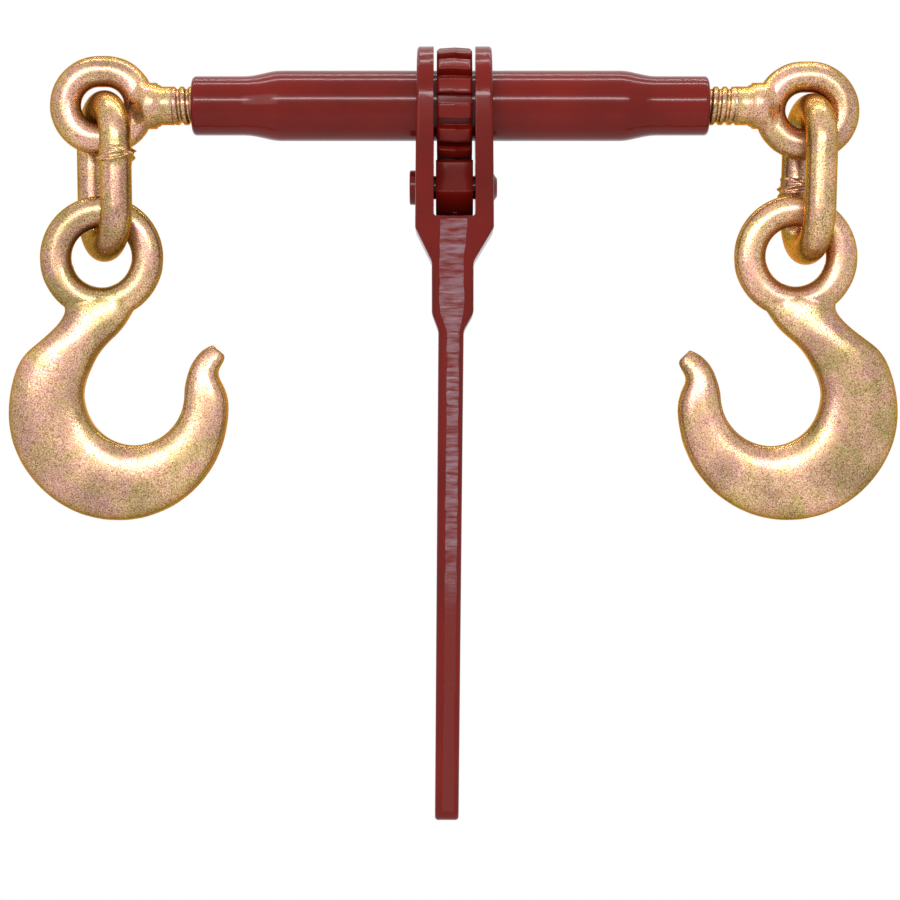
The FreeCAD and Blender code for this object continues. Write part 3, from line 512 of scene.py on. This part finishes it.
chromate_forging = yellow_chromate("chromate_forging", 1900.0, 0.035 * mm, 24.0)
chromate_thread = yellow_chromate("chromate_thread", 1900.0, 0.02 * mm, 60.0)
parting_height, parting_half_width = 0.22 * mm, 0.8 * mm
eye_places = {"left": Vector((-175.2, 0, 0.3)) * mm, "right": Vector((175.4, 0, -2.4)) * mm}
for side, direction in (("left", -1), ("right", 1)):
    eye_bolt = joined_mesh(side + "_eye_bolt")
    cut_at = thread_outer_end[side]
    bmesh.ops.bisect_plane(eye_bolt, geom=eye_bolt.verts[:] + eye_bolt.edges[:] + eye_bolt.faces[:],
                           plane_co=(cut_at, 0, 0), plane_no=(direction, 0, 0), clear_inner=True)
    rim = [e for e in eye_bolt.edges if e.is_boundary]
    bmesh.ops.edgeloop_fill(eye_bolt, edges=rim)
    eye = eye_places[side]
    parting_line(eye_bolt, lambda p: (p - eye).length > 20 * mm or abs(p.x) < abs(eye.x) - 14 * mm,
                 parting_height, parting_half_width)
    eye_bolt = finished_piece(eye_bolt, side + "_eye_forged", chromate_forging, side + "_screw")
    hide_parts(side + "_eye_bolt")

    inner, outer = sorted((thread_inner_end[side], thread_outer_end[side] + direction * 0.5 * mm))
    thread = bmesh.new()
    steps_per_turn = 40
    start = inner - 2 * thread_pitch
    groove = [(0.0, 0.0), (0.22, 0.0), (0.34, 0.35), (0.42, 0.85), (0.50, 1.0), (0.62, 1.0), (0.70, 0.85),
              (0.78, 0.35), (0.90, 0.0), (1.0, 0.0)]
    line = [thread.verts.new((start + share * thread_pitch, 0, thread_crest - depth * thread_depth))
            for share, depth in groove]
    edges = [thread.edges.new(pair) for pair in zip(line, line[1:])]
    turns = math.ceil((outer - start) / thread_pitch) + 2
    bmesh.ops.spin(thread, geom=line + edges, cent=(0, 0, 0), axis=(-direction, 0, 0), angle=2 * math.pi * turns,
                   dvec=(thread_pitch / steps_per_turn, 0, 0), steps=steps_per_turn * turns)
    bmesh.ops.remove_doubles(thread, verts=thread.verts, dist=0.005 * mm)
    for x, towards in ((inner, -1), (outer, 1)):
        bmesh.ops.bisect_plane(thread, geom=thread.verts[:] + thread.edges[:] + thread.faces[:],
                               plane_co=(x, 0, 0), plane_no=(towards, 0, 0), clear_outer=True)
    for vert in thread.verts:
        from_shank = abs(vert.co.x - thread_outer_end[side])
        if from_shank < thread_runout:
            radius = math.hypot(vert.co.y, vert.co.z)
            shallow = 1 - from_shank / thread_runout
            wanted = radius + (thread_crest - 0.15 * mm - radius) * shallow
            vert.co.y *= wanted / radius
            vert.co.z *= wanted / radius
    bmesh.ops.edgenet_fill(thread, edges=[e for e in thread.edges if e.is_boundary])
    bmesh.ops.recalc_face_normals(thread, faces=thread.faces)
    finished_piece(thread, side + "_screw_thread", chromate_thread, side + "_screw", sharp=50)

    tail = joined_mesh(side + "_eye_bolt")
    bmesh.ops.bisect_plane(tail, geom=tail.verts[:] + tail.edges[:] + tail.faces[:],
                           plane_co=(thread_inner_end[side], 0, 0), plane_no=(direction, 0, 0), clear_outer=True)
    bmesh.ops.edgeloop_fill(tail, edges=[e for e in tail.edges if e.is_boundary])
    finished_piece(tail, side + "_screw_tail", chromate_thread, side + "_screw")

# Links: round bar bent to an oval and flash-welded in the middle of one leg, where the weld stands out as a
# rough collar. They are barrelled and plated together with the hooks.
weld_places = {"left": (-26.5 * mm, -1), "right": (-39.0 * mm, 1)}
weld_reach = 7.5 * mm
weld_swell = 0.45 * mm
weld_rings = 30
weld_lips = ((0.10, 3.4, 0.4, 1.35), (-0.25, 3.0, 2.7, 1.15), (0.45, 1.6, 5.1, 0.70))   # place, tilt, turn, height
chromate_bar = yellow_chromate("chromate_bar", 1700.0, 0.028 * mm, 28.0)
for side in ("left", "right"):
    link = joined_mesh(side + "_link")
    weld_z, leg = weld_places[side]
    for step in range(weld_rings + 1):
        z = weld_z + weld_reach * (2 * step / weld_rings - 1)
        bmesh.ops.bisect_plane(link, geom=link.verts[:] + link.edges[:] + link.faces[:],
                               plane_co=(0, 0, z), plane_no=(0, 0, 1), dist=0.001 * mm)
    near = [v for v in link.verts if abs(v.co.z - weld_z) <= weld_reach and v.co.y * leg > 4 * mm]
    across = list({e for v in near for e in v.link_edges if abs(e.verts[0].co.z - e.verts[1].co.z) < 0.01 * mm})
    bmesh.ops.subdivide_edges(link, edges=across, cuts=1, use_grid_fill=True)
    near = [v for v in link.verts if abs(v.co.z - weld_z) <= weld_reach and v.co.y * leg > 4 * mm]
    middle = sum((v.co for v in near), Vector()) / len(near)
    for vert in near:
        out = Vector((vert.co.x - middle.x, vert.co.y - middle.y, 0))
        share = (vert.co.z - weld_z) / weld_reach
        around = math.atan2(out.y, out.x)
        swell = weld_swell * math.exp(-(share / 0.55) ** 4)
        for place, tilt, turn, height in weld_lips:
            ragged = 1 + 0.8 * noise.noise(Vector((math.cos(around), math.sin(around), turn)) * 2.2)
            away = (vert.co.z - weld_z) / mm - place * weld_reach / mm - tilt * math.sin(around + turn)
            swell += height * mm * ragged * math.exp(-(away / 0.75) ** 2)
        vert.co += out.normalized() * swell * (1 - share ** 8)
        vert.co.y = max(cad_box[0][1], min(cad_box[1][1], vert.co.y))
    link = finished_piece(link, side + "_link_welded", chromate_bar, side + "_link", sharp=70)
    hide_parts(side + "_link")

# Hooks: slip hooks drop forged in one heat with their eyes, trimmed, shot-blasted and plated. A trace of the
# dies' parting line runs round the outside.
for side in ("left", "right"):
    hook = joined_mesh(side + "_hook")
    low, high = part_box(side + "_hook")
    bowl = Vector(next(m["pos_m"] for m in frame["record"]["mounts"] if m["name"] == side + "_hook_bowl"))
    eye_top = high.z
    parting_line(hook, lambda p: (p - bowl).length > 30 * mm and p.z < eye_top - 34 * mm
                 and low.x + 1.5 * mm < p.x < high.x - 1.5 * mm, parting_height, parting_half_width)
    hook = finished_piece(hook, side + "_hook_forged", chromate_forging, side + "_hook", sharp=60)
    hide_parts(side + "_hook")

# Studio: the binder hangs clear of a pale floor, before a white sky. Long tubes over it draw the bright lines
# along the barrel, and one soft lamp lights it from the front.
floor_mesh = bmesh.new()
bmesh.ops.create_circle(floor_mesh, cap_ends=True, segments=96, radius=0.95)
bmesh.ops.translate(floor_mesh, verts=floor_mesh.verts, vec=(0, 0, -0.60))
floor_data = bpy.data.meshes.new("studio_floor")
floor_mesh.to_mesh(floor_data)
floor_mesh.free()
floor = bpy.data.objects.new("studio_floor", floor_data)
bpy.context.scene.collection.objects.link(floor)
paper = bpy.data.materials.new("studio_paper")
paper.use_nodes = True
paper_shader = paper.node_tree.nodes["Principled BSDF"]
paper_shader.inputs["Base Color"].default_value = (0.93, 0.93, 0.93, 1.0)
paper_shader.inputs["Roughness"].default_value = 0.9
floor_data.materials.append(paper)

world = bpy.data.worlds.new("studio_sky")
world.use_nodes = True
sky = world.node_tree
light_path = put(sky, "ShaderNodeLightPath")
seen = put(sky, "ShaderNodeMath", operation="MAXIMUM")
seen_too = put(sky, "ShaderNodeMath", operation="MAXIMUM")
level = put(sky, "ShaderNodeMapRange", {"To Min": 0.55, "To Max": 1.0})
background = sky.nodes["Background"]
background.inputs["Color"].default_value = (1.0, 1.0, 1.0, 1.0)
sky.links.new(light_path.outputs["Is Camera Ray"], seen.inputs[0])
sky.links.new(light_path.outputs["Is Glossy Ray"], seen.inputs[1])
sky.links.new(seen.outputs[0], seen_too.inputs[0])
sky.links.new(light_path.outputs["Is Transmission Ray"], seen_too.inputs[1])
sky.links.new(seen_too.outputs[0], level.inputs["Value"])
sky.links.new(level.outputs["Result"], background.inputs["Strength"])
bpy.context.scene.world = world


def studio_lamp(name, place, aim, size, power):
    lamp = bpy.data.lights.new(name, "AREA")
    lamp.shape = "RECTANGLE"
    lamp.size, lamp.size_y = size
    lamp.energy = power
    holder = bpy.data.objects.new(name, lamp)
    holder.location = place
    holder.rotation_euler = (Vector(aim) - Vector(place)).to_track_quat("-Z", "Y").to_euler()
    bpy.context.scene.collection.objects.link(holder)


studio_lamp("tube_overhead", (0, -0.03, 0.95), (0, 0, 0), (1.3, 0.05), 4.5)
studio_lamp("tube_over_back", (0, 0.40, 0.95), (0, 0, 0), (1.3, 0.03), 2.5)
studio_lamp("tube_over_camera", (0, -1.35, 0.40), (0, 0, 0), (1.1, 0.11), 10.0)
studio_lamp("soft_front", (-0.6, -1.3, 0.35), (0, 0, -0.12), (0.6, 0.8), 3.5)

camera_data = bpy.data.cameras.new("photo_camera")
camera_data.sensor_width = 36.0
camera_data.lens = 36.0 * 1.2 / 0.4439
camera = bpy.data.objects.new("photo_camera", camera_data)
camera.location = (-2.2 * mm, -1.2, -169.7 * mm)
camera.rotation_euler = (math.radians(90), 0, 0)
bpy.context.scene.collection.objects.link(camera)
bpy.context.scene.camera = camera
bpy.context.scene.view_settings.view_transform = "Standard"
